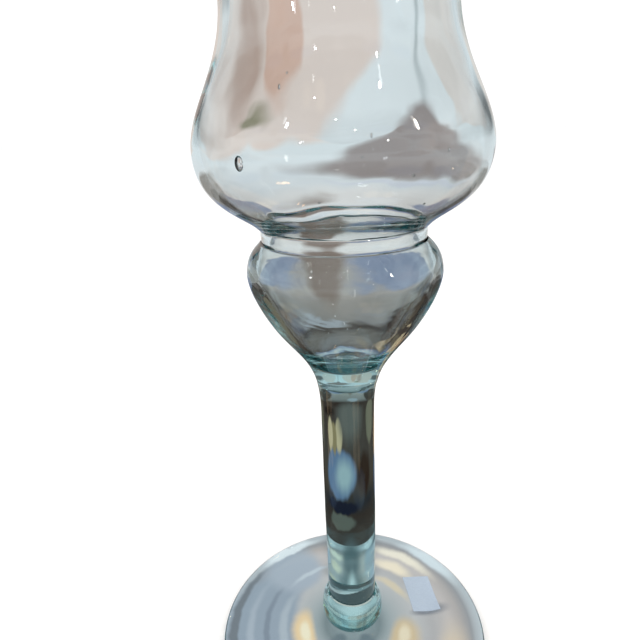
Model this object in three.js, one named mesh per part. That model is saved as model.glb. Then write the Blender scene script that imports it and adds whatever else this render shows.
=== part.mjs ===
// Hand-blown stemmed goblet in pale sea-green glass, standing on its foot.
// Millimetres, +Z up, origin at the middle of the plane that the foot rests on.
// Bottom to top: foot, knop, stem, lower bulb, neck ring and bowl, with a paper label on the foot.
import * as THREE from 'three';

// Foot: a thin disc that rests on a ring near its rim
const footRadius = 45;
const footRimThickness = 3.3;
const footEdgeRound = 1.8; // from the rim inwards to the resting ring and to the top face
const footRestWidth = 3.7; // width of the flat ring that touches the table
const footHollowHeight = 3.2; // how far the underside rises in the middle
const footCrownHeight = 7.2; // top face in the middle, where the knop sits
const footSweep = 1.7; // higher values keep the top face flatter near the rim

// Knop: the bead of glass between foot and stem
const knopRadius = 10.2;
const knopSeatRadius = 8.8;
const knopLowerHeight = 4; // seat to widest ring
const knopUpperHeight = 6.8; // widest ring to the stem
const knopRoundness = 0.6; // 0.5 is nearly a cone, 1 is square-shouldered
const knopLedge = 0.5; // how far the top of the knop stands out past the stem

// Stem: a solid drawn rod that flares into the bulb
const stemRadius = 8;
const stemHeight = 79;
const stemFlareHeight = 12;
const stemTopRadius = 8.9;
const stemTopSlope = 0.22; // radius gained per height where stem and bulb meet

// Lower bulb: the hollow swelling under the neck
const bulbRadius = 26.8;
const bulbShoulderHeight = 8.8; // widest ring to the neck ring
const bulbShoulderRound = 5; // curve handle over the widest ring
const bulbUnderRound = 3.5; // curve handle under the widest ring
const bulbTaperHeight = 19.2; // widest ring to the turn of the tail
const bulbTurnRadius = 17.2;
const bulbTurnSlope = 0.83; // radius gained per height at that turn
const bulbTailHeight = 14.4; // turn of the tail to the stem
const bulbTailEase = 0.36; // curve handles, as a share of the tail
const bulbTaperEase = 0.385; // curve handle, as a share of the taper
const bulbWall = 2.6;
const bulbTurnWall = 3.6;
const bulbBottomThickness = 5.6; // solid glass between stem and cavity
const bulbCavityRound = 7; // curve handle of the cavity's round end
const bulbInnerRound = 4.7; // curve handle over the widest ring, inside
const bulbNeckReach = 2.1; // curve handle of the inside at the neck ring, outwards
const bulbNeckRise = 2.2; // and along the axis

// Neck ring: the thick collar where bulb and bowl were nipped in
const neckRingRadius = 22.1;
const neckRingHeight = 3.6;
const neckRingBulge = 0.3;
const neckBoreRadius = 19.8;
const neckStep = 0.4; // bulb and bowl stand this far out past the ring
const neckTurn = 2; // curve handle of the bulb at the ring
const neckBoreSwell = 0.15; // curve handles of the ring's inside: into the bore at the top
const neckBoreHollow = 0.45; // and out of it at the bottom
const neckBoreEase = 0.8; // and along the axis

// Bowl: shallow floor, round belly, waist and flared rim
const bowlFloorReach = 3.2; // curve handle of the floor, outwards
const bowlFloorRise = 4.6; // and upwards
const bowlBellyRadius = 38;
const bowlBellyHeight = 20.1; // neck ring to belly
const bowlBellyRound = 14; // curve handle under the belly
const bowlShoulderRound = 10.4; // curve handle over the belly
const bowlWaistRadius = 28;
const bowlWaistHeight = 34.5; // belly to waist
const bowlWaistRound = 15.5; // curve handles under and over the waist
const bowlRimRadius = 35;
const bowlFlareHeight = 27; // waist to rim
const bowlRimSlope = 0.6; // radius gained per height at the rim
const bowlRimRound = 7; // curve handle under the rim
const bowlWall = 1.9;
const bowlInnerRound = 14.6; // curve handle under the belly, inside
const bowlNeckReach = 2.9; // curve handle of the inside at the neck ring, outwards
const bowlNeckRise = 5.7; // and along the axis

// Label: a small blank paper sticker on top of the foot
const labelWidth = 9.8;
const labelLength = 16.2;
const labelThickness = 0.2;
const labelGlue = 0.1; // gap to the glass
const labelRimDistance = 17.8; // foot rim to the middle of the label
const labelBearing = 22; // degrees round the foot, from +X
const labelTurn = 8; // degrees that its long side is turned from the Y axis

// Fineness of the facets
const turns = 48;
const curveSteps = 6;
const labelSteps = 4;

// Levels, bottom to top
const knopEquator = footCrownHeight + knopLowerHeight;
const stemBase = knopEquator + knopUpperHeight;
const bulbBase = stemBase + stemHeight;
const bulbTurn = bulbBase + bulbTailHeight;
const bulbEquator = bulbTurn + bulbTaperHeight;
const neckBase = bulbEquator + bulbShoulderHeight;
const bowlBase = neckBase + neckRingHeight;
const bowlBelly = bowlBase + bowlBellyHeight;
const bowlWaist = bowlBelly + bowlWaistHeight;
const bowlRim = bowlWaist + bowlFlareHeight;

function glass(color, opacity) {
  return new THREE.MeshStandardMaterial({
    color,
    opacity,
    transparent: true,
    roughness: 0.05,
    metalness: 0
  });
}

// Turns a closed half-section, drawn as radius and height, into a solid round the Z axis
function turned(name, section, material) {
  const geometry = new THREE.LatheGeometry(section.getPoints(curveSteps), turns);
  geometry.rotateX(Math.PI / 2);
  const mesh = new THREE.Mesh(geometry, material);
  mesh.name = name;
  return mesh;
}

// Height of the foot's top face at a radius
function footTop(radius) {
  const flatRadius = footRadius - footEdgeRound;
  const share = (flatRadius - radius) / (flatRadius - knopSeatRadius);
  const held = Math.min(1, Math.max(0, share));
  return footRimThickness + (footCrownHeight - footRimThickness) * held ** footSweep;
}

function foot() {
  const flatRadius = footRadius - footEdgeRound;
  const restInner = flatRadius - footRestWidth;
  const edge = footRimThickness / 2;
  const section = new THREE.Path();
  section.moveTo(0, footHollowHeight);
  section.quadraticCurveTo(restInner / 2, footHollowHeight, restInner, 0);
  section.lineTo(flatRadius, 0);
  section.absellipse(flatRadius, edge, footEdgeRound, edge, -Math.PI / 2, Math.PI / 2, false);
  const topSteps = 2 * curveSteps;
  for (let i = 1; i <= topSteps; i += 1) {
    const radius = flatRadius + ((knopSeatRadius - flatRadius) * i) / topSteps;
    section.lineTo(radius, footTop(radius));
  }
  section.lineTo(0, footCrownHeight);
  return turned('foot', section, glass(0xbcd0d4, 0.5));
}

function stemKnop() {
  const section = new THREE.Path();
  section.moveTo(0, footCrownHeight);
  section.lineTo(knopSeatRadius, footCrownHeight);
  section.quadraticCurveTo(
    knopRadius, knopEquator - knopLowerHeight * knopRoundness,
    knopRadius, knopEquator
  );
  section.quadraticCurveTo(
    knopRadius, knopEquator + knopUpperHeight * knopRoundness,
    stemRadius + knopLedge, stemBase
  );
  section.lineTo(0, stemBase);
  return turned('stem_knop', section, glass(0x9fc9c9, 0.6));
}

function stem() {
  const handle = stemFlareHeight / 3;
  const section = new THREE.Path();
  section.moveTo(0, stemBase);
  section.lineTo(stemRadius, stemBase);
  section.lineTo(stemRadius, bulbBase - stemFlareHeight);
  section.bezierCurveTo(
    stemRadius, bulbBase - 2 * handle,
    stemTopRadius - stemTopSlope * handle, bulbBase - handle,
    stemTopRadius, bulbBase
  );
  section.lineTo(0, bulbBase);
  return turned('stem', section, glass(0x5c7f80, 0.75));
}

function lowerBulb() {
  const tail = bulbTailHeight * bulbTailEase;
  const taper = bulbTaperHeight * bulbTaperEase;
  const topRadius = neckRingRadius + neckStep;
  const innerTurnRadius = bulbTurnRadius - bulbTurnWall;
  const innerRadius = bulbRadius - bulbWall;
  const cavityBase = bulbBase + bulbBottomThickness;
  const section = new THREE.Path();
  section.moveTo(0, bulbBase);
  section.lineTo(stemTopRadius, bulbBase);
  section.bezierCurveTo(
    stemTopRadius + stemTopSlope * tail, bulbBase + tail,
    bulbTurnRadius - bulbTurnSlope * tail, bulbTurn - tail,
    bulbTurnRadius, bulbTurn
  );
  section.bezierCurveTo(
    bulbTurnRadius + bulbTurnSlope * taper, bulbTurn + taper,
    bulbRadius, bulbEquator - bulbUnderRound,
    bulbRadius, bulbEquator
  );
  section.bezierCurveTo(
    bulbRadius, bulbEquator + bulbShoulderRound,
    topRadius + neckTurn, neckBase - neckTurn,
    topRadius, neckBase
  );
  section.lineTo(neckBoreRadius, neckBase);
  section.bezierCurveTo(
    neckBoreRadius + bulbNeckReach, neckBase - bulbNeckRise,
    innerRadius, bulbEquator + bulbInnerRound,
    innerRadius, bulbEquator
  );
  section.bezierCurveTo(
    innerRadius, bulbEquator - bulbUnderRound,
    innerTurnRadius + bulbTurnSlope * taper, bulbTurn + taper,
    innerTurnRadius, bulbTurn
  );
  section.bezierCurveTo(
    innerTurnRadius - bulbTurnSlope * tail, bulbTurn - tail,
    bulbCavityRound, cavityBase,
    0, cavityBase
  );
  return turned('lower_bulb', section, glass(0xb4c6c8, 0.5));
}

function neckRing() {
  const middle = (neckBase + bowlBase) / 2;
  const section = new THREE.Path();
  section.moveTo(neckBoreRadius, neckBase);
  section.lineTo(neckRingRadius, neckBase);
  section.quadraticCurveTo(neckRingRadius + 2 * neckRingBulge, middle, neckRingRadius, bowlBase);
  section.lineTo(neckBoreRadius, bowlBase);
  section.bezierCurveTo(
    neckBoreRadius - neckBoreSwell, bowlBase - neckBoreEase,
    neckBoreRadius + neckBoreHollow, neckBase + neckBoreEase,
    neckBoreRadius, neckBase
  );
  return turned('neck_ring', section, glass(0xa6ccca, 0.6));
}

function bowl() {
  const lowRadius = neckRingRadius + neckStep;
  const innerBelly = bowlBellyRadius - bowlWall;
  const innerWaist = bowlWaistRadius - bowlWall;
  const innerRim = bowlRimRadius - bowlWall;
  const flareLean = bowlRimSlope * bowlRimRound;
  const lip = bowlWall / 1.5; // makes the lip half as high as the wall is thick
  const section = new THREE.Path();
  section.moveTo(neckBoreRadius, bowlBase);
  section.lineTo(lowRadius, bowlBase);
  section.bezierCurveTo(
    lowRadius + bowlFloorReach, bowlBase + bowlFloorRise,
    bowlBellyRadius, bowlBelly - bowlBellyRound,
    bowlBellyRadius, bowlBelly
  );
  section.bezierCurveTo(
    bowlBellyRadius, bowlBelly + bowlShoulderRound,
    bowlWaistRadius, bowlWaist - bowlWaistRound,
    bowlWaistRadius, bowlWaist
  );
  section.bezierCurveTo(
    bowlWaistRadius, bowlWaist + bowlWaistRound,
    bowlRimRadius - flareLean, bowlRim - bowlRimRound,
    bowlRimRadius, bowlRim
  );
  section.bezierCurveTo(bowlRimRadius, bowlRim + lip, innerRim, bowlRim + lip, innerRim, bowlRim);
  section.bezierCurveTo(
    innerRim - flareLean, bowlRim - bowlRimRound,
    innerWaist, bowlWaist + bowlWaistRound,
    innerWaist, bowlWaist
  );
  section.bezierCurveTo(
    innerWaist, bowlWaist - bowlWaistRound,
    innerBelly, bowlBelly + bowlShoulderRound,
    innerBelly, bowlBelly
  );
  section.bezierCurveTo(
    innerBelly, bowlBelly - bowlInnerRound,
    neckBoreRadius + bowlNeckReach, bowlBase + bowlNeckRise,
    neckBoreRadius, bowlBase
  );
  return turned('bowl', section, glass(0xcfdfe0, 0.4));
}

// A thin plate laid on the foot's top face, following its slope
function priceLabel() {
  const geometry = new THREE.BoxGeometry(
    labelWidth, labelLength, labelThickness, labelSteps, 2 * labelSteps, 1
  );
  geometry.rotateZ(THREE.MathUtils.degToRad(labelTurn));
  const bearing = THREE.MathUtils.degToRad(labelBearing);
  const distance = footRadius - labelRimDistance;
  geometry.translate(distance * Math.cos(bearing), distance * Math.sin(bearing), 0);
  const points = geometry.attributes.position;
  for (let i = 0; i < points.count; i += 1) {
    const under = footTop(Math.hypot(points.getX(i), points.getY(i)));
    points.setZ(i, under + labelGlue + labelThickness / 2 + points.getZ(i));
  }
  const paper = new THREE.MeshStandardMaterial({ color: 0xd5dfe8, roughness: 0.9, metalness: 0 });
  const mesh = new THREE.Mesh(geometry, paper);
  mesh.name = 'price_label';
  return mesh;
}

const goblet = new THREE.Group();
goblet.add(foot(), stemKnop(), stem(), lowerBulb(), neckRing(), bowl(), priceLabel());

export default goblet;
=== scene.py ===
import math
import bpy
from mathutils import Matrix, Vector


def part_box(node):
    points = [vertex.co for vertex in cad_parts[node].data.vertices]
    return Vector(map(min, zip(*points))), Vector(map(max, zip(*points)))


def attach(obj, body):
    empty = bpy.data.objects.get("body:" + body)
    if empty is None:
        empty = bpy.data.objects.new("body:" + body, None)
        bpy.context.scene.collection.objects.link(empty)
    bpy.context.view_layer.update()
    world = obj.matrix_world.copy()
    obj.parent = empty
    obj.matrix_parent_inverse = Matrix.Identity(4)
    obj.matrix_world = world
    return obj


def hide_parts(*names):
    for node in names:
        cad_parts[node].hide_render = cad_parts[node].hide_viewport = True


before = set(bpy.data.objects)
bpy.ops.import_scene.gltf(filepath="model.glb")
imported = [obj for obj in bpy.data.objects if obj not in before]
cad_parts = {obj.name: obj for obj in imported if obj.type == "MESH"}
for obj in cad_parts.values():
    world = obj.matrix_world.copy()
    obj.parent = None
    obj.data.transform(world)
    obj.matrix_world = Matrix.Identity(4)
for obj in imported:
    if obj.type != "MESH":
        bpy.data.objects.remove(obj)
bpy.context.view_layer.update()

mm = 0.001  # lengths in the dictionaries are in mm where no note says otherwise
sides = 64  # corners of a ring before it is subdivided
fineness = 2  # subdivision levels of the turned glass
ringGrowth = 3 / (2 + math.cos(2 * math.pi / sides))  # a subdivided ring shrinks by this much
startRing, lastRing = 3.0, 4.0  # mm, radii of the rings next to the axis on flat faces
weldReach = 0.001  # mm, points that are nearer are merged
ringReach = 0.005  # mm, how near a point is to a ring that it lies on
levelReach = 0.01  # mm, how near a flat face is to the height that it lies at
levelNormal = 0.999  # a face counts as flat where its normal is this upright
smoothAngle = 50  # degrees, sharper edges than this stay crisp in the shading
meltLap = 0.02  # mm, how far two fused pieces reach into each other
jointMark = "meltedJoint"  # face attribute, 1 where two pieces of glass are melted together


def linear(hexColour):
    channels = [int(hexColour[i:i + 2], 16) / 255 for i in (1, 3, 5)]
    lit = [c / 12.92 if c <= 0.04045 else ((c + 0.055) / 1.055) ** 2.4 for c in channels]
    return (*lit, 1.0)


def addNode(tree, kind, settings=None, inputs=None):
    node = tree.nodes.new(kind)
    for name, value in (settings or {}).items():
        setattr(node, name, value)
    for socket, value in (inputs or {}).items():
        if isinstance(value, bpy.types.NodeSocket):
            tree.links.new(value, node.inputs[socket])
        else:
            node.inputs[socket].default_value = value
    return node


def bend(start, startPull, endPull, end, steps):
    # points of a smooth curve from start to end, without start itself
    points = []
    for i in range(1, steps + 1):
        t = i / steps
        weights = ((1 - t) ** 3, 3 * t * (1 - t) ** 2, 3 * t * t * (1 - t), t ** 3)
        corners = (start, startPull, endPull, end)
        points.append(tuple(sum(w * c[k] for w, c in zip(weights, corners)) for k in (0, 1)))
    return points


def deselectAll():
    bpy.ops.object.select_all(action="DESELECT")


def applyModifiers(piece):
    deselectAll()
    piece.select_set(True)
    bpy.context.view_layer.objects.active = piece
    for modifier in list(piece.modifiers):
        bpy.ops.object.modifier_apply(modifier=modifier.name)


def turnGlass(name, outline, hollow, sharp):
    # outline: radius and height in mm, ring by ring; a hollow piece closes on its first ring
    deselectAll()
    first = outline[0]
    bpy.ops.mesh.primitive_circle_add(
        vertices=sides,
        radius=first[0] * mm * ringGrowth,
        fill_type="NOTHING" if hollow else "TRIFAN",
        location=(0, 0, first[1] * mm),
    )
    piece = bpy.context.object
    piece.name = name
    bpy.ops.object.transform_apply(location=True, rotation=False, scale=False)
    bpy.ops.object.mode_set(mode="EDIT")
    bpy.ops.mesh.select_mode(type="EDGE")
    if hollow:
        bpy.ops.mesh.select_all(action="SELECT")
    else:
        bpy.ops.mesh.select_all(action="DESELECT")
        bpy.ops.mesh.select_non_manifold()
    for (radiusFrom, heightFrom), (radiusTo, heightTo) in zip(outline, outline[1:]):
        bpy.ops.mesh.extrude_edges_move(
            TRANSFORM_OT_translate={"value": (0, 0, (heightTo - heightFrom) * mm)}
        )
        if radiusTo == 0:
            bpy.ops.mesh.merge(type="CENTER")
        else:
            grow = radiusTo / radiusFrom
            bpy.ops.transform.resize(
                value=(grow, grow, 1), center_override=(0, 0, heightTo * mm)
            )
    bpy.ops.mesh.select_all(action="SELECT")
    bpy.ops.mesh.remove_doubles(threshold=weldReach * mm)
    bpy.ops.mesh.normals_make_consistent(inside=False)
    bpy.ops.object.mode_set(mode="OBJECT")
    keepSharp(piece, sharp)
    subdivision = piece.modifiers.new("subdivision", "SUBSURF")
    subdivision.levels = subdivision.render_levels = fineness
    applyModifiers(piece)
    return piece


def keepSharp(piece, corners):
    # corners: radius and height in mm of the rings that stay crisp
    crease = piece.data.attributes.new("crease_edge", "FLOAT", "EDGE")
    points = [(math.hypot(v.co.x, v.co.y) / mm / ringGrowth, v.co.z / mm) for v in piece.data.vertices]
    for edge in piece.data.edges:
        for radius, height in corners:
            onRing = [math.dist(points[i], (radius, height)) < ringReach for i in edge.vertices]
            if all(onRing):
                crease.data[edge.index].value = 1


def markJoints(piece, heights):
    # heights in mm of the flat faces that are melted to the next piece
    mark = piece.data.attributes.new(jointMark, "FLOAT", "FACE")
    for face in piece.data.polygons:
        level = face.center.z / mm
        flat = abs(face.normal.z) > levelNormal
        mark.data[face.index].value = float(flat and any(abs(level - h) < levelReach for h in heights))


def waver(piece, swell):
    # hand-made glass is never quite even: swells and thins it by depth mm, size mm apart
    cloud = bpy.data.textures.new(piece.name + "Waver", "CLOUDS")
    cloud.noise_scale = swell["size"] * mm
    cloud.noise_depth = 1
    ripple = piece.modifiers.new("waver", "DISPLACE")
    ripple.texture = cloud
    ripple.texture_coords = "LOCAL"
    ripple.strength = swell["depth"] * mm
    ripple.mid_level = 0.5
    applyModifiers(piece)


def finishGlass(piece, glass, node):
    deselectAll()
    piece.select_set(True)
    bpy.context.view_layer.objects.active = piece
    bpy.ops.object.shade_smooth_by_angle(angle=math.radians(smoothAngle))
    piece.data.materials.append(glass)
    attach(piece, "root")
    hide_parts(node)


# Soda glass, worked hot and fire-polished: crisp highlights, and a sea-green body where it is thick.
# Foot, stem and bulb have the full body colour, and knop, neck ring and bowl a paler one
sodaGlass = {
    "ior": 1.52,
    "roughness": 0.008,
    "bodyColour": "#59ced1",  # share of light that each colour keeps
    "bodyDensity": 38.0,  # per metre of glass
    "cordDetail": 2.0,
    "cordDistortion": 0.6,
}


def glassFor(melt):
    # cords are the faint ropes of uneven glass: their spacing and depth in mm, and how close together
    # they lie along x, y and z (0.1 draws them out ten times); density is the body colour's, per metre
    material = bpy.data.materials.new(melt["name"])
    material.use_nodes = True
    tree = material.node_tree
    tree.nodes.clear()
    output = addNode(tree, "ShaderNodeOutputMaterial")
    place = addNode(tree, "ShaderNodeTexCoord")
    stretch = addNode(tree, "ShaderNodeMapping", inputs={
        "Vector": place.outputs["Object"],
        "Scale": tuple(c / (melt["cordSpacing"] * mm) for c in melt["cordCloseness"]),
    })
    cords = addNode(tree, "ShaderNodeTexNoise", inputs={
        "Vector": stretch.outputs["Vector"], "Scale": 1.0,
        "Detail": sodaGlass["cordDetail"], "Distortion": sodaGlass["cordDistortion"],
    })
    relief = addNode(tree, "ShaderNodeBump", inputs={
        "Height": cords.outputs["Fac"], "Distance": melt["cordDepth"] * mm, "Strength": 1.0,
    })
    joint = addNode(tree, "ShaderNodeAttribute", {"attribute_name": jointMark})
    # where two pieces are melted together there is no surface to bend the light
    ior = addNode(tree, "ShaderNodeMapRange", inputs={
        "Value": joint.outputs["Fac"], "To Min": sodaGlass["ior"], "To Max": 1.0,
    })
    skin = addNode(tree, "ShaderNodeBsdfPrincipled", inputs={
        "Base Color": (1, 1, 1, 1),
        "Roughness": sodaGlass["roughness"],
        "Transmission Weight": 1.0,
        "IOR": ior.outputs["Result"],
        "Normal": relief.outputs["Normal"],
    })
    body = addNode(tree, "ShaderNodeVolumeAbsorption", inputs={
        "Color": linear(sodaGlass["bodyColour"]), "Density": melt["density"],
    })
    tree.links.new(skin.outputs["BSDF"], output.inputs["Surface"])
    tree.links.new(body.outputs["Volume"], output.inputs["Volume"])
    return material


# Foot: spun flat while it was hot, so faint rings run round it
foot = {
    "restWidth": 3.7,  # of the flat ring that it stands on
    "edgeRound": 1.8,
    "rimThickness": 3.3,
    "hollow": 3.2,  # height of the middle of its underside
    "seatRadius": 8.8,  # of the knop on it
    "sweep": 1.7,  # how much its top steepens towards the middle
    "rippleCount": 7,
    "rippleDepth": 0.035,
    "radius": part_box("foot")[1].x / mm,
    "crown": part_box("foot")[1].z / mm,
    "firstRing": 1.0,
    "rimSteps": 6,
    "topSteps": 26,
    "glass": {  # spun: broad, slow waves that soften what lies under it
        "name": "spunSodaGlass", "cordSpacing": 16, "cordCloseness": (1, 1, 1), "cordDepth": 0.05,
        "density": sodaGlass["bodyDensity"],
    },
}


def footTop(radius):
    flat = foot["radius"] - foot["edgeRound"]
    share = min(1, max(0, (flat - radius) / (flat - foot["seatRadius"])))
    rise = (foot["crown"] - foot["rimThickness"]) * share ** foot["sweep"]
    ripple = math.sin(share * math.pi * foot["rippleCount"]) * foot["rippleDepth"]
    return foot["rimThickness"] + rise + ripple * math.sin(math.pi * share) ** 0.5


def makeFoot():
    flat = foot["radius"] - foot["edgeRound"]
    restInner = flat - foot["restWidth"]
    thick = foot["rimThickness"]
    middle = (foot["firstRing"], foot["hollow"])
    outline = [middle]
    outline += bend(middle, (restInner / 3, foot["hollow"]),
                    (restInner * 2 / 3, foot["hollow"] / 2), (restInner, 0), steps=10)
    outline += [(flat, 0)]
    for i in range(1, foot["rimSteps"] + 1):
        turn = -math.pi / 2 + math.pi * i / foot["rimSteps"]
        outline.append((flat + foot["edgeRound"] * math.cos(turn), thick / 2 * (1 + math.sin(turn))))
    for i in range(1, foot["topSteps"] + 1):
        radius = flat + (foot["seatRadius"] - flat) * i / foot["topSteps"]
        outline.append((radius, footTop(radius)))
    crown = foot["crown"]
    outline += [(lastRing, crown), (0, crown)]
    piece = turnGlass("footDisc", outline, False, [(foot["seatRadius"], crown), (restInner, 0)])
    markJoints(piece, [crown])
    finishGlass(piece, glassFor(foot["glass"]), "foot")


# Knop: a bead of hot glass dropped on the foot and rounded with a tool, so it is a little uneven
knop = {
    "seatRadius": 8.8, "topRadius": 8.5,
    "lower": 4.0,  # height of its widest part
    "roundness": 0.6, "fullness": 0.6,  # where its curves pull, as a share of the height, and how far
    "seatEase": 0.97, "shoulderEase": 0.95,  # its radius at the ends of the pull, as shares of the widest
    "glass": {  # tooled: close, shallow dents that break up its highlights
        "name": "tooledSodaGlass", "cordSpacing": 9, "cordCloseness": (1, 1, 1.6), "cordDepth": 0.03,
        "density": 8.0,
    },
}


def makeKnop():
    low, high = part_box("stem_knop")
    base, top, radius = low.z / mm, high.z / mm, high.x / mm
    equator = base + knop["lower"]
    under = equator - knop["lower"] * knop["roundness"]
    over = equator + (top - equator) * knop["roundness"]
    seat = (knop["seatRadius"], base - meltLap)
    shoulder = (knop["topRadius"], top)
    outline = [(startRing, seat[1]), seat]
    full = knop["fullness"]
    outline += bend(seat, (radius * knop["seatEase"], under - full), (radius, under + full),
                    (radius, equator), steps=5)
    outline += bend((radius, equator), (radius, over - full),
                    (radius * knop["shoulderEase"], over + full), shoulder, steps=7)
    outline += [(lastRing, top), (0, top)]
    piece = turnGlass("knopBead", outline, False, [seat, shoulder])
    markJoints(piece, [seat[1], top])
    finishGlass(piece, glassFor(knop["glass"]), "stem_knop")


# Stem: a rod drawn down from the bulb, with fine lines along its length
stem = {
    "radius": 8.0, "steps": 9,
    "flare": 12.0, "topRadius": 8.9, "topSlope": 0.22,  # where it widens into the bulb
    "waver": {"size": 22, "depth": 0.35},
    "glass": {  # drawn: faint lines along its length
        "name": "drawnSodaGlass", "cordSpacing": 9, "cordCloseness": (1, 1, 0.1), "cordDepth": 0.004,
        "density": sodaGlass["bodyDensity"],
    },
}


def makeStem():
    low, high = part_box("stem")
    base, top = low.z / mm - meltLap, high.z / mm
    radius = stem["radius"]
    pull = stem["flare"] / 3
    outline = [(startRing, base), (radius, base)]
    flareBase = top - stem["flare"]
    rise = (flareBase - base) / stem["steps"]
    outline += [(radius, base + rise * i) for i in range(1, stem["steps"] + 1)]
    outline += bend((radius, flareBase), (radius, flareBase + pull),
                    (stem["topRadius"] - stem["topSlope"] * pull, top - pull),
                    (stem["topRadius"], top), steps=5)
    outline += [(lastRing, top), (0, top)]
    piece = turnGlass("stemRod", outline, False, [(radius, base), (stem["topRadius"], top)])
    waver(piece, stem["waver"])
    markJoints(piece, [base, top])
    finishGlass(piece, glassFor(stem["glass"]), "stem")


# Lower bulb: blown hollow under the neck, thick and solid at its foot
bulb = {
    "topRadius": 22.5, "neckTurn": 2.0,  # where it meets the neck ring
    "shoulder": 8.8, "shoulderRound": 5.0,  # from the neck ring down to its widest part
    "taper": 19.2, "underRound": 3.5,  # from there down to its turn towards the stem
    "turnRadius": 17.2, "turnSlope": 0.83,
    "tailEase": 0.36, "taperEase": 0.385,  # how far its curves pull, as shares of their heights
    "wall": 2.6, "turnWall": 3.6, "bottom": 6.4,  # thickness of the glass
    "innerRound": 4.7, "cavityRound": 7.0,
    "waver": {"size": 14, "depth": 0.2},
    "glass": {  # blown: waves that run round it and stir what shows through
        "name": "blownBulbSodaGlass", "cordSpacing": 12, "cordCloseness": (1, 1, 1.8), "cordDepth": 0.06,
        "density": sodaGlass["bodyDensity"],
    },
}
# Bore: the inside of the neck, shared by the bulb, the neck ring and the bowl
bore = {"radius": 19.8, "reach": 2.1, "rise": 2.2, "swell": 0.15, "hollow": 0.45}


def makeBulb():
    low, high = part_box("lower_bulb")
    base, top, radius = low.z / mm, high.z / mm, high.x / mm
    equator = top - bulb["shoulder"]
    turn = equator - bulb["taper"]
    tail = (turn - base) * bulb["tailEase"]
    taper = bulb["taper"] * bulb["taperEase"]
    slope = bulb["turnSlope"]
    seat = base - meltLap
    start = (stem["topRadius"], seat)
    outline = [(startRing, seat), start]
    outline += bend(start, (stem["topRadius"] + stem["topSlope"] * tail, base + tail),
                    (bulb["turnRadius"] - slope * tail, turn - tail), (bulb["turnRadius"], turn), steps=7)
    outline += bend((bulb["turnRadius"], turn), (bulb["turnRadius"] + slope * taper, turn + taper),
                    (radius, equator - bulb["underRound"]), (radius, equator), steps=8)
    outline += bend((radius, equator), (radius, equator + bulb["shoulderRound"]),
                    (bulb["topRadius"] + bulb["neckTurn"], top - bulb["neckTurn"]),
                    (bulb["topRadius"], top), steps=7)
    outline += [(bore["radius"], top)]
    inner = radius - bulb["wall"]
    innerTurn = bulb["turnRadius"] - bulb["turnWall"]
    outline += bend((bore["radius"], top), (bore["radius"] + bore["reach"], top - bore["rise"]),
                    (inner, equator + bulb["innerRound"]), (inner, equator), steps=7)
    outline += bend((inner, equator), (inner, equator - bulb["underRound"]),
                    (innerTurn + slope * taper, turn + taper), (innerTurn, turn), steps=8)
    floor = base + bulb["bottom"]
    outline += bend((innerTurn, turn), (innerTurn - slope * tail, turn - tail),
                    (bulb["cavityRound"], floor), (0, floor), steps=9)
    sharp = [start, (bulb["topRadius"], top), (bore["radius"], top)]
    piece = turnGlass("bulbBody", outline, False, sharp)
    waver(piece, bulb["waver"])
    markJoints(piece, [seat, top])
    finishGlass(piece, glassFor(bulb["glass"]), "lower_bulb")


# Neck ring: the collar where the jacks nipped the bubble in
neck = {
    "radius": 22.1, "bulge": 0.3, "ease": 1,
    "glass": {  # nipped: short waves that run round it
        "name": "nippedSodaGlass", "cordSpacing": 8, "cordCloseness": (1, 1, 2), "cordDepth": 0.04,
        "density": 12.0,
    },
}


def makeNeckRing():
    low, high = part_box("neck_ring")
    base, top = low.z / mm - meltLap, high.z / mm + meltLap
    middle = (base + top) / 2
    outer, inner, ease = neck["radius"], bore["radius"], neck["ease"]
    bulge = outer + neck["bulge"]
    outline = [(inner, base), (outer, base)]
    outline += bend((outer, base), (bulge, base + ease), (bulge, top - ease), (outer, top), steps=6)
    outline += [(inner, top)]
    outline += bend((inner, top), (inner - bore["swell"], middle + ease),
                    (inner + bore["hollow"], middle - ease), (inner, base), steps=6)
    sharp = [(outer, base), (outer, top), (inner, base), (inner, top)]
    piece = turnGlass("neckCollar", outline, True, sharp)
    markJoints(piece, [base, top])
    finishGlass(piece, glassFor(neck["glass"]), "neck_ring")


# Bowl: thin, blown, with a shallow floor, round belly, waist and flared fire-polished rim
bowl = {
    "lowRadius": 22.5, "floorReach": 3.2, "floorRise": 4.6,  # where it meets the neck ring, outside
    "boreReach": 2.9, "boreRise": 5.7,  # and inside
    "belly": 20.1, "bellyRound": 14.0, "innerRound": 14.6, "shoulderRound": 10.4,
    "waist": 34.5, "waistRadius": 28.0, "waistRound": 15.5,  # waist is its height above the belly
    "flare": 27.0, "rimRadius": 35.0, "rimSlope": 0.6, "rimRound": 7.0,  # flare is from waist to rim
    "wall": 1.9, "lipRoundness": 2 / 3,
    "waver": {"size": 20, "depth": 0.25},
    "glass": {  # blown thin: nearly colourless, with waves that run up it
        "name": "blownBowlSodaGlass", "cordSpacing": 18, "cordCloseness": (1, 1, 0.5), "cordDepth": 0.06,
        "density": 17.0,
    },
}
# seeds are bubbles caught in the wall: degrees round from the front, height, width, tallness
seeds = (
    (-35, 161.8, 2.4, 3.2), (23, 158.6, 0.6, 0.5), (-21, 176.0, 0.5, 1.1), (9, 166.5, 0.4, 0.9),
    (31, 152.4, 0.7, 0.5), (-8, 154.0, 0.5, 0.4), (62, 171.0, 0.6, 1.0), (118, 160.0, 0.8, 1.4),
    (-150, 182.0, 0.5, 1.0), (170, 158.0, 0.7, 0.6),
)
seedShape = {
    "flatness": 0.6,  # thickness as a share of width
    "thickest": 0.9,  # mm
    "outside": 80,  # mm from the axis, clear of the bowl
}


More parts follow.
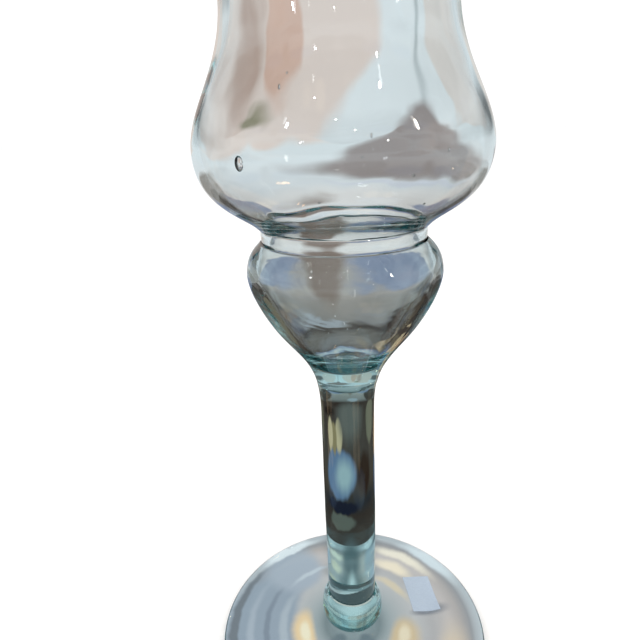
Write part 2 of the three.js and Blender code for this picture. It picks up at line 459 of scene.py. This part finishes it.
def addSeeds(piece):
    # each bubble is a closed, flattened skin in the middle of the wall that faces inwards
    for bearing, height, width, tallness in seeds:
        angle = math.radians(bearing - 90)
        outward = Vector((math.cos(angle), math.sin(angle), 0))
        centre = Vector((0, 0, height * mm))
        inside = piece.ray_cast(centre, outward)[1]
        outside = piece.ray_cast(centre + outward * seedShape["outside"] * mm, -outward)[1]
        deselectAll()
        # 1 mm across, so that its scale is its size in mm
        bpy.ops.mesh.primitive_uv_sphere_add(segments=16, ring_count=10, radius=mm / 2)
        bubble = bpy.context.object
        bubble.scale = (min(seedShape["thickest"], seedShape["flatness"] * width), width, tallness)
        bubble.rotation_euler = (0, 0, angle)
        bubble.location = (inside + outside) / 2
        bpy.ops.object.mode_set(mode="EDIT")
        bpy.ops.mesh.select_all(action="SELECT")
        bpy.ops.mesh.flip_normals()
        bpy.ops.object.mode_set(mode="OBJECT")
        piece.select_set(True)
        bpy.context.view_layer.objects.active = piece
        bpy.ops.object.join()


def makeBowl():
    low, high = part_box("bowl")
    base, radius = low.z / mm, high.x / mm
    belly = base + bowl["belly"]
    waist = belly + bowl["waist"]
    rim = waist + bowl["flare"]
    wall = bowl["wall"]
    lean = bowl["rimSlope"] * bowl["rimRound"]
    innerBelly = radius - wall
    innerWaist = bowl["waistRadius"] - wall
    innerRim = bowl["rimRadius"] - wall
    start = (bowl["lowRadius"], base)
    outline = [start]
    outline += bend(start, (bowl["lowRadius"] + bowl["floorReach"], base + bowl["floorRise"]),
                    (radius, belly - bowl["bellyRound"]), (radius, belly), steps=9)
    outline += bend((radius, belly), (radius, belly + bowl["shoulderRound"]),
                    (bowl["waistRadius"], waist - bowl["waistRound"]),
                    (bowl["waistRadius"], waist), steps=8)
    outline += bend((bowl["waistRadius"], waist), (bowl["waistRadius"], waist + bowl["waistRound"]),
                    (bowl["rimRadius"] - lean, rim - bowl["rimRound"]), (bowl["rimRadius"], rim), steps=7)
    lip = rim + wall * bowl["lipRoundness"]
    outline += bend((bowl["rimRadius"], rim), (bowl["rimRadius"], lip), (innerRim, lip), (innerRim, rim),
                    steps=4)
    outline += bend((innerRim, rim), (innerRim - lean, rim - bowl["rimRound"]),
                    (innerWaist, waist + bowl["waistRound"]), (innerWaist, waist), steps=7)
    outline += bend((innerWaist, waist), (innerWaist, waist - bowl["waistRound"]),
                    (innerBelly, belly + bowl["shoulderRound"]), (innerBelly, belly), steps=8)
    end = (bore["radius"], base)
    outline += bend((innerBelly, belly), (innerBelly, belly - bowl["innerRound"]),
                    (bore["radius"] + bowl["boreReach"], base + bowl["boreRise"]), end, steps=9)
    outline += [start]
    piece = turnGlass("bowlBody", outline, True, [start, end])
    waver(piece, bowl["waver"])
    markJoints(piece, [base])
    addSeeds(piece)
    finishGlass(piece, glassFor(bowl["glass"]), "bowl")


# Label: a small blank paper sticker
label = {
    "cells": (20, 32), "width": 9.8, "length": 16.2, "thickness": 0.2, "glue": 0.12,
    "rimDistance": 17.8, "bearing": 22.0, "turn": 8.0,
    "curl": 3.0, "curlStart": 0.45,  # lift in mm, and the share of the way to the corner where it starts
    "fibre": 0.5, "fibreRelief": 0.03, "roughness": 0.85,
    # both fibre colours are white paper darkened and blued by painted shade; only the mottle between them
    # is the fibres
    "darkShadedFibre": "#9fafc1", "paleShadedFibre": "#b7c6d5",
}


def labelPaper():
    # pressed paper: matt, with short fibres that mottle it; its blue-grey is painted shade and blue light
    # on white paper
    material = bpy.data.materials.new("pressedLabelPaper")
    material.use_nodes = True
    tree = material.node_tree
    skin = tree.nodes["Principled BSDF"]
    place = addNode(tree, "ShaderNodeTexCoord")
    fibres = addNode(tree, "ShaderNodeTexNoise", inputs={
        "Vector": place.outputs["Object"], "Scale": 1 / (label["fibre"] * mm), "Detail": 4.0,
    })
    tint = addNode(tree, "ShaderNodeValToRGB", inputs={"Fac": fibres.outputs["Fac"]})
    tint.color_ramp.elements[0].color = linear(label["darkShadedFibre"])
    tint.color_ramp.elements[1].color = linear(label["paleShadedFibre"])
    relief = addNode(tree, "ShaderNodeBump", inputs={
        "Height": fibres.outputs["Fac"], "Distance": label["fibreRelief"] * mm, "Strength": 1.0,
    })
    tree.links.new(tint.outputs["Color"], skin.inputs["Base Color"])
    tree.links.new(relief.outputs["Normal"], skin.inputs["Normal"])
    skin.inputs["Roughness"].default_value = label["roughness"]
    return material


def makeLabel():
    deselectAll()
    across, along = label["cells"]
    bpy.ops.mesh.primitive_grid_add(x_subdivisions=across, y_subdivisions=along, size=1)
    piece = bpy.context.object
    piece.name = "paperLabel"
    piece.scale = (label["width"] * mm, label["length"] * mm, 1)
    piece.rotation_euler = (0, 0, math.radians(label["turn"]))
    bearing = math.radians(label["bearing"])
    away = (foot["radius"] - label["rimDistance"]) * mm
    # 1 at the corner that curls up, 0 along the two edges away from it
    corners = [(v.co.x + 0.5) * (0.5 - v.co.y) for v in piece.data.vertices]
    piece.location = (away * math.cos(bearing), away * math.sin(bearing), 0)
    bpy.ops.object.transform_apply(location=True, rotation=True, scale=True)
    for vertex, corner in zip(piece.data.vertices, corners):
        radius = math.hypot(vertex.co.x, vertex.co.y) / mm
        lift = label["curl"] * max(0, corner - label["curlStart"]) ** 2
        vertex.co.z = (footTop(radius) + label["glue"] + lift) * mm
    paper = piece.modifiers.new("thickness", "SOLIDIFY")
    paper.thickness = label["thickness"] * mm
    paper.offset = 1
    applyModifiers(piece)
    piece.data.materials.append(labelPaper())
    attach(piece, "root")
    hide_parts("price_label")


# Camera: fitted to the photograph's outline of the goblet
photoView = {
    "place": (0.0, -150.1, 170.2),  # mm
    "yaw": -2.789, "pitch": 19.88, "roll": 2.29,  # degrees
    "focal": 560, "frame": 640,  # pixels
    "sensor": 36.0, "clipStart": 10.0,  # mm
}


def makeCamera():
    yaw, pitch, roll = (math.radians(photoView[k]) for k in ("yaw", "pitch", "roll"))
    ahead = Vector((math.sin(yaw) * math.cos(pitch), math.cos(yaw) * math.cos(pitch), -math.sin(pitch)))
    right = Vector((math.cos(yaw), -math.sin(yaw), 0))
    down = ahead.cross(right)
    turned = right * math.cos(roll) + down * math.sin(roll)
    tipped = down * math.cos(roll) - right * math.sin(roll)
    lens = bpy.data.cameras.new("photoView")
    lens.sensor_width = photoView["sensor"]
    lens.lens = photoView["focal"] / photoView["frame"] * photoView["sensor"]
    lens.clip_start = photoView["clipStart"] * mm
    camera = bpy.data.objects.new("photoView", lens)
    axes = Matrix((turned, -tipped, -ahead)).transposed()
    camera.matrix_world = Matrix.Translation(Vector(photoView["place"]) * mm) @ axes.to_4x4()
    bpy.context.scene.collection.objects.link(camera)
    bpy.context.scene.camera = camera


# Surround: a plain pale sweep for the eye. What the glass bends and mirrors is muted: soft cards
# stand round the goblet and lie under it. The far ones behind it are repeated every third of a turn,
# so that each side has its share; the near ones and the front ones are not
surround = {
    "sweep": "#ffffff",
    "sweepLight": 1.12,
    "repeat": 120,  # degrees from one set of far cards to the next
    "wanderScale": 8.0, "wanderDetail": 2.0,  # how often and how raggedly their edges stray
    "floor": "#fafafa",
    "floorSize": 12,  # metres
}
standingCards = {
    "wander": (1.2, 1.0),  # degrees that their edges stray, sideways and up
    "bands": (  # degrees up, colour
        (-90, "#a7b3bd"), (-4, "#b4bcc0"), (0, "#e2ecf0"), (7, "#e2ecf0"), (14, "#d8e3e8"),
        (22, "#b9bdbf"), (30, "#a0a6a8"), (37, "#465153"), (58, "#465153"), (66, "#8f9496"),
        (90, "#b9bec2"),
    ),
    "cards": (  # from and to in degrees to the right, from and to in degrees up, softness, colour
        # grey at both sides, which draws the edges of the bowl and bulb
        (29, 62, 1, 13, 0.4, "#6f7577"),
        (-62, -29, 1, 13, 0.4, "#6f7577"),
        # the bowl's warm oval, its pale one, and the strips and the olive patch in the warm one
        (-33, 4.5, -4.5, 22.5, 0.04, "#e0d4cd"),
        (12.5, 32, -2.5, 20, 0.05, "#dedad6"),
        (-9.8, -4.2, 0.5, 19, 0.12, "#d3b5a6"),
        (-16, -10.5, -1, 17, 0.7, "#bba59a"),
        (-12.5, -8, -1.2, 0.6, 0.5, "#8d8a72"),
        # the thin line above the bowl's grey triangle, and the triangle's peak
        (9.2, 10.2, 1, 22, 0.9, "#b4c0c4"),
        (7.5, 11.5, -4, 1.2, 0.3, "#948d8c"),
        (6, 15, -4, -0.6, 0.3, "#948d8c"),
    ),
    "frontCards": (  # greyer ones all over the front, so that what the glass mirrors stays faint
        (118, 230, -30, 55, 0.25, "#a9afb2"),
        (-230, -118, -30, 55, 0.25, "#a9afb2"),
    ),
}
# the solid stem turns left and right round; the hollow bulb and bowl do not
lyingCards = {
    "wander": (2.0, 0.02),  # sideways in degrees, outwards as a share of the distance on a log scale
    "bands": (  # mm from the middle, colour
        # the darker greys nearest the middle, under the knop, are painted shade
        (5, "#94a0a4"), (9, "#859195"), (12, "#a6afb2"), (14, "#b2b8bb"), (22, "#c9c8c9"),
        (28, "#bdbabb"), (34, "#cfc7c5"), (38, "#bdb5b3"), (41, "#a5a5a9"), (43, "#c6cbd0"),
        (45, "#b9c2c8"), (47, "#4c4542"), (66, "#42352f"), (72, "#2c2f35"), (84, "#54483f"),
        (112, "#4f4641"), (150, "#473d38"), (215, "#413631"), (240, "#8b8987"), (330, "#a59f9a"),
        (440, "#b3aeab"), (540, "#dddbd9"), (860, "#e6e8e8"), (1100, "#dbe3e7"), (6000, "#dde8ec"),
    ),
    "cards": (  # from and to in degrees to the right, from and to in mm from the middle, softness, colour
        # the stem's blue oval and its pale middle
        (-12, 46, 76, 116, 0.14, "#7083a3"),
        (-6, 22, 82, 106, 0.6, "#b3c2c8"),
        # the stem's cream strips over the oval, and the dark patch over them
        (9, 22, 112, 158, 0.2, "#dcc09c"),
        (20, 31, 110, 150, 0.2, "#a18a66"),
        (28, 40, 110, 156, 0.2, "#dcc09c"),
        (24, 50, 160, 186, 0.4, "#221a18"),
        # the stem's pale strip at one side and its thin warm line
        (-58, -32, 118, 225, 0.12, "#7f7766"),
        (-5.5, -4, 135, 225, 0.5, "#b0907a"),
        # the stem's dark blue and grey arcs under the oval, and the brown beside and over it
        (-14, 46, 67, 75, 0.2, "#1d2131"),
        (-8, 40, 56, 67, 0.2, "#6e6c64"),
        (-44, -14, 76, 112, 0.3, "#38271f"),
        (-22, 22, 185, 222, 0.3, "#33241f"),
        # dark and grey at both sides, which draws the edges of the bulb
        (24, 60, 218, 440, 0.12, "#4a4440"),
        (-60, -24, 218, 440, 0.12, "#4a4440"),
        (28, 60, 440, 950, 0.2, "#8f8d89"),
        (-60, -28, 440, 950, 0.2, "#8f8d89"),
        # the bulb's two blue zones and the brown between them
        (-34, -8, 325, 560, 0.2, "#8792aa"),
        (0, 30, 325, 560, 0.2, "#8590a9"),
        (-8, 0, 300, 820, 0.3, "#85766d"),
        # the pale spot at the stem's top, and the bulb's grey lower half
        (-14, 0, 226, 256, 0.4, "#a9afb6"),
        (-20, 16, 125, 215, 0.5, "#706d69"),
        # the bowl's grey triangle, the pale band under it, and the lower end of the warm oval
        (-5, 28, 1330, 3000, 0.3, "#948d8c"),
        (0, 19, 1300, 7000, 0.2, "#948d8c"),
        (-2, 27, 1080, 1250, 0.5, "#d3dae4"),
        (-36, -0.5, 3000, 30000, 0.08, "#e0d4cd"),
    ),
    "nearWander": (2.0, 0.012),
    "nearCards": (  # under the foot, laid out as the others
        # several of these cards are painted shadows and painted highlights, seen through the foot
        # blue-grey with faint rings on the left
        (-165, -38, 20, 46, 0.2, "#a1adbb"),
        (-140, -60, 23, 26, 0.6, "#b7c1cb"),
        (-150, -55, 29.5, 31.5, 0.6, "#8d98a6"),
        (-140, -70, 35, 37.5, 0.7, "#b4beca"),
        (-150, -50, 40.5, 43.5, 0.4, "#80878f"),
        # paler at the back on the left, with a painted highlight along the rim
        (-60, -24, 22, 45, 0.3, "#b1bbc8"),
        (-50, -20, 27, 29, 0.6, "#c9d3dc"),
        (-52, -22, 41, 45, 0.4, "#eef6fb"),
        # warm arcs, and a painted highlight along the rim, at the back on the right
        (18, 46, 28, 33, 0.6, "#fff0d8"),
        (14, 52, 35, 39, 0.6, "#fff4e2"),
        (24, 60, 21, 24, 0.6, "#e3d5bd"),
        (30, 62, 40.5, 45, 0.5, "#e6eff5"),
        # the label's shadow, and a warm arc in front of it
        (74, 82, 22, 34, 0.5, "#8d8f97"),
        (96, 150, 30, 40, 0.6, "#e6d3ba"),
        # warm glints at the left and the right of the knop
        (-128, -74, 13.5, 21, 0.4, "#f6d9ae"),
        (-116, -88, 15, 18.5, 0.5, "#fff3d6"),
        (84, 128, 13.5, 23, 0.4, "#dcc6a4"),
        (92, 116, 16, 20, 0.5, "#f3e4c8"),
        # pale behind the knop, and a painted highlight in front of it between two patches of painted
        # shade under the knop's sides
        (-16, 16, 16, 24, 0.2, "#d3dde0"),
        (168, 196, 8, 12.5, 0.6, "#eef6f8"),
        (128, 160, 5, 11, 0.5, "#75838a"),
        (-160, -128, 5, 11, 0.5, "#75838a"),
        # painted shadow of the stem on the floor behind it, which greys the stem's lowest part, and a
        # painted highlight streak in it
        (-14, 14, 27, 49, 0.5, "#6b777c"),
        (-20, 20, 21, 30, 0.5, "#7b878b"),
        (-6, 5, 18, 29, 0.7, "#e9eff1"),
    ),
}


def ramp(tree, factor, stops):
    # stops: place from 0 to 1, colour
    node = addNode(tree, "ShaderNodeValToRGB", inputs={"Fac": factor})
    elements = node.color_ramp.elements
    while len(elements) < len(stops):
        elements.new(0.5)  # its place is set below
    for element, (place, colour) in zip(elements, stops):
        element.position = place
        element.color = linear(colour)
    return node.outputs["Color"]


def layCard(tree, below, across, along, card):
    # lays one soft oval of colour over what is already there
    left, right, low, high, soft, colour = card
    place = addNode(tree, "ShaderNodeCombineXYZ", inputs={"X": across, "Y": along})
    centred = addNode(tree, "ShaderNodeVectorMath", {"operation": "SUBTRACT"}, {
        0: place.outputs["Vector"], 1: ((left + right) / 2, (low + high) / 2, 0),
    })
    scaled = addNode(tree, "ShaderNodeVectorMath", {"operation": "MULTIPLY"}, {
        0: centred.outputs["Vector"], 1: (2 / (right - left), 2 / (high - low), 0),
    })
    away = addNode(tree, "ShaderNodeVectorMath", {"operation": "LENGTH"}, {0: scaled.outputs["Vector"]})
    inside = addNode(tree, "ShaderNodeMapRange", {"interpolation_type": "SMOOTHSTEP"}, {
        "Value": away.outputs["Value"],
        "From Min": 1 - soft, "From Max": 1 + soft, "To Min": 1.0, "To Max": 0.0,
    })
    laid = addNode(tree, "ShaderNodeMix", {"data_type": "RGBA"}, {
        "Factor": inside.outputs["Result"], 6: below, 7: linear(colour),
    })
    return laid.outputs[2]


def layCards(tree, place, along, bands, groups):
    # colours in bands by along, which is the degrees up or the distance, and then the groups of cards,
    # each with its repeat round the goblet and its wander
    parts = addNode(tree, "ShaderNodeSeparateXYZ", inputs={"Vector": place})
    bearing = addNode(tree, "ShaderNodeMath", {"operation": "ARCTAN2"}, {
        0: parts.outputs["X"], 1: parts.outputs["Y"],
    })
    degrees = addNode(tree, "ShaderNodeMath", {"operation": "MULTIPLY"}, {
        0: bearing.outputs["Value"], 1: math.degrees(1),
    })
    low, high = bands[0][0], bands[-1][0]
    share = addNode(tree, "ShaderNodeMapRange", inputs={
        "Value": along, "From Min": low, "From Max": high,
    })
    colour = ramp(tree, share.outputs["Result"], [((d - low) / (high - low), c) for d, c in bands])
    unitPlace = addNode(tree, "ShaderNodeVectorMath", {"operation": "NORMALIZE"}, {0: place})
    noise = addNode(tree, "ShaderNodeTexNoise", inputs={
        "Vector": unitPlace.outputs["Vector"],
        "Scale": surround["wanderScale"], "Detail": surround["wanderDetail"],
    })
    stray = addNode(tree, "ShaderNodeVectorMath", {"operation": "SUBTRACT"}, {
        0: noise.outputs["Color"], 1: (0.5, 0.5, 0.5),  # the middle of the noise
    })
    straight = addNode(tree, "ShaderNodeCombineXYZ", inputs={"X": degrees.outputs["Value"], "Y": along})
    for repeat, wander, cards in groups:
        strayed = addNode(tree, "ShaderNodeVectorMath", {"operation": "MULTIPLY_ADD"}, {
            0: stray.outputs["Vector"],
            1: (2 * wander[0], 2 * wander[1], 0),
            2: straight.outputs["Vector"],
        })
        spot = addNode(tree, "ShaderNodeSeparateXYZ", inputs={"Vector": strayed.outputs["Vector"]})
        across = addNode(tree, "ShaderNodeMath", {"operation": "WRAP"}, {
            0: spot.outputs["X"], 1: repeat / 2, 2: -repeat / 2,
        })
        for card in cards:
            colour = layCard(tree, colour, across.outputs["Value"], spot.outputs["Y"], card)
    return colour


def seenStraight(tree):
    # 1 for what the eye or a matt surface sees straight on, 0 for what the glass bends or mirrors
    ray = addNode(tree, "ShaderNodeLightPath")
    straight = addNode(tree, "ShaderNodeMath", {"operation": "MAXIMUM"}, {
        0: ray.outputs["Is Camera Ray"], 1: ray.outputs["Is Diffuse Ray"],
    })
    return straight.outputs["Value"]


def makeSweepLight():
    world = bpy.data.worlds.new("surround")
    bpy.context.scene.world = world
    world.use_nodes = True
    tree = world.node_tree
    tree.nodes.clear()
    output = addNode(tree, "ShaderNodeOutputWorld")
    direction = addNode(tree, "ShaderNodeTexCoord").outputs["Generated"]
    height = addNode(tree, "ShaderNodeSeparateXYZ", inputs={"Vector": direction})
    up = addNode(tree, "ShaderNodeMath", {"operation": "ARCSINE"}, {0: height.outputs["Z"]})
    degrees = addNode(tree, "ShaderNodeMath", {"operation": "MULTIPLY"}, {
        0: up.outputs["Value"], 1: math.degrees(1),
    }).outputs["Value"]
    groups = [
        (surround["repeat"], standingCards["wander"], standingCards["cards"]),
        (360, standingCards["wander"], standingCards["frontCards"]),
    ]
    colour = layCards(tree, direction, degrees, standingCards["bands"], groups)
    muted = addNode(tree, "ShaderNodeBackground", inputs={"Color": colour, "Strength": 1.0})
    sweep = addNode(tree, "ShaderNodeBackground", inputs={
        "Color": linear(surround["sweep"]), "Strength": surround["sweepLight"],
    })
    both = addNode(tree, "ShaderNodeMixShader", inputs={
        "Fac": seenStraight(tree), 1: muted.outputs["Background"], 2: sweep.outputs["Background"],
    })
    tree.links.new(both.outputs["Shader"], output.inputs["Surface"])


def onLogScale(cards):
    # the same cards with the logarithms of their distances
    return [(left, right, math.log10(near), math.log10(far), *rest)
            for left, right, near, far, *rest in cards]


def sweepPaint():
    # matt paint, white to the eye, with the lying cards for what the glass bends and mirrors
    material = bpy.data.materials.new("mattPaintedSweep")
    material.use_nodes = True
    material.cycles.emission_sampling = "NONE"
    tree = material.node_tree
    skin = tree.nodes["Principled BSDF"]
    skin.inputs["Base Color"].default_value = linear(surround["floor"])
    skin.inputs["Roughness"].default_value = 1.0
    skin.inputs["Specular IOR Level"].default_value = 0.0
    place = addNode(tree, "ShaderNodeTexCoord").outputs["Object"]
    away = addNode(tree, "ShaderNodeVectorMath", {"operation": "LENGTH"}, {0: place})
    inMm = addNode(tree, "ShaderNodeMath", {"operation": "MULTIPLY"}, {
        0: away.outputs["Value"], 1: 1 / mm,
    })
    # distances on a log scale, so that the near cards are as well drawn as the far ones
    logged = addNode(tree, "ShaderNodeMath", {"operation": "LOGARITHM"}, {
        0: inMm.outputs["Value"], 1: 10.0,
    }).outputs["Value"]
    bands = [(math.log10(d), c) for d, c in lyingCards["bands"]]
    groups = [
        (surround["repeat"], lyingCards["wander"], onLogScale(lyingCards["cards"])),
        (360, lyingCards["nearWander"], onLogScale(lyingCards["nearCards"])),
    ]
    colour = layCards(tree, place, logged, bands, groups)
    muted = addNode(tree, "ShaderNodeEmission", inputs={"Color": colour, "Strength": 1.0})
    both = addNode(tree, "ShaderNodeMixShader", inputs={
        "Fac": seenStraight(tree), 1: muted.outputs["Emission"], 2: skin.outputs["BSDF"],
    })
    tree.links.new(both.outputs["Shader"], tree.nodes["Material Output"].inputs["Surface"])
    return material


def makeSweepFloor():
    deselectAll()
    bpy.ops.mesh.primitive_plane_add(size=surround["floorSize"], location=(0, 0, 0))
    floor = bpy.context.object
    floor.name = "paleFloor"
    floor.data.materials.append(sweepPaint())


# Softboxes: small lamps that the glass mirrors as crisp highlights
softboxAim = (0, 0, 0.11)  # metres, the middle of the goblet
softboxes = (  # name, place and size in metres, power in watts, tint
    ("leftSoftbox", (-1.1, -1.2, 1.1), (0.06, 0.14), 1.5, "#f4f8ff"),
    ("rightSoftbox", (1.2, -0.8, 0.8), (0.05, 0.24), 1.6, "#fff8ee"),
    ("topLamp", (0.1, -0.9, 1.6), (0.05, 0.05), 0.8, "#ffffff"),
    ("farLamp", (-0.9, 1.0, 0.7), (0.06, 0.04), 0.6, "#ffe2bc"),
    ("warmLamp", (0.7, 0.4, 1.7), (0.2, 0.1), 2.0, "#ffc890"),
    ("leftSpot", (-0.5, -1.1, 1.5), (0.04, 0.03), 0.5, "#ffffff"),
    ("nearSpot", (0.3, -1.6, 0.9), (0.03, 0.03), 0.35, "#fff4e4"),
    ("rightSpot", (0.8, -1.0, 1.6), (0.04, 0.04), 0.6, "#ffffff"),
    ("lowSpot", (-0.7, -1.3, 0.5), (0.03, 0.04), 0.4, "#eaf2ff"),
    ("middleSpot", (-0.1, -1.5, 1.2), (0.03, 0.03), 0.4, "#ffffff"),
    ("sideSpot", (0.9, -1.4, 0.5), (0.03, 0.03), 0.4, "#ffffff"),
    ("highSpot", (-0.2, 0.3, 1.8), (0.08, 0.05), 0.9, "#ffffff"),
)


def makeSoftboxes():
    for name, place, size, power, tint in softboxes:
        light = bpy.data.lights.new(name, "AREA")
        light.shape = "RECTANGLE"
        light.size, light.size_y = size
        light.energy = power
        light.color = linear(tint)[:3]
        light.cycles.cast_shadow = False
        lamp = bpy.data.objects.new(name, light)
        lamp.location = place
        aim = Vector(softboxAim) - lamp.location
        lamp.rotation_euler = aim.to_track_quat("-Z", "Y").to_euler()
        lamp.visible_camera = False
        bpy.context.scene.collection.objects.link(lamp)


# Light paths: long ones, because the light that is caught in the neck's glass is mirrored many times
lightPaths = {
    "bounces": 48,
    "transparentBounces": 16,
    "brightest": 6.0,  # a stray bounce is never brighter than this
    "blur": 0.2,  # softens mirrored light that comes by way of a dull surface
}


def setLight():
    scene = bpy.context.scene
    scene.view_settings.view_transform = "Standard"
    scene.cycles.max_bounces = lightPaths["bounces"]
    scene.cycles.transmission_bounces = lightPaths["bounces"]
    scene.cycles.glossy_bounces = lightPaths["bounces"]
    scene.cycles.transparent_max_bounces = lightPaths["transparentBounces"]
    scene.cycles.sample_clamp_indirect = lightPaths["brightest"]
    scene.cycles.blur_glossy = lightPaths["blur"]


makeCamera()
makeFoot()
print("foot spun")
makeKnop()
makeStem()
print("knop and stem drawn")
makeBulb()
makeNeckRing()
makeBowl()
print("bulb, neck ring and bowl blown")
makeLabel()
print("label stuck on")
makeSweepLight()
makeSweepFloor()
makeSoftboxes()
setLight()
print("sweep and lights set up")
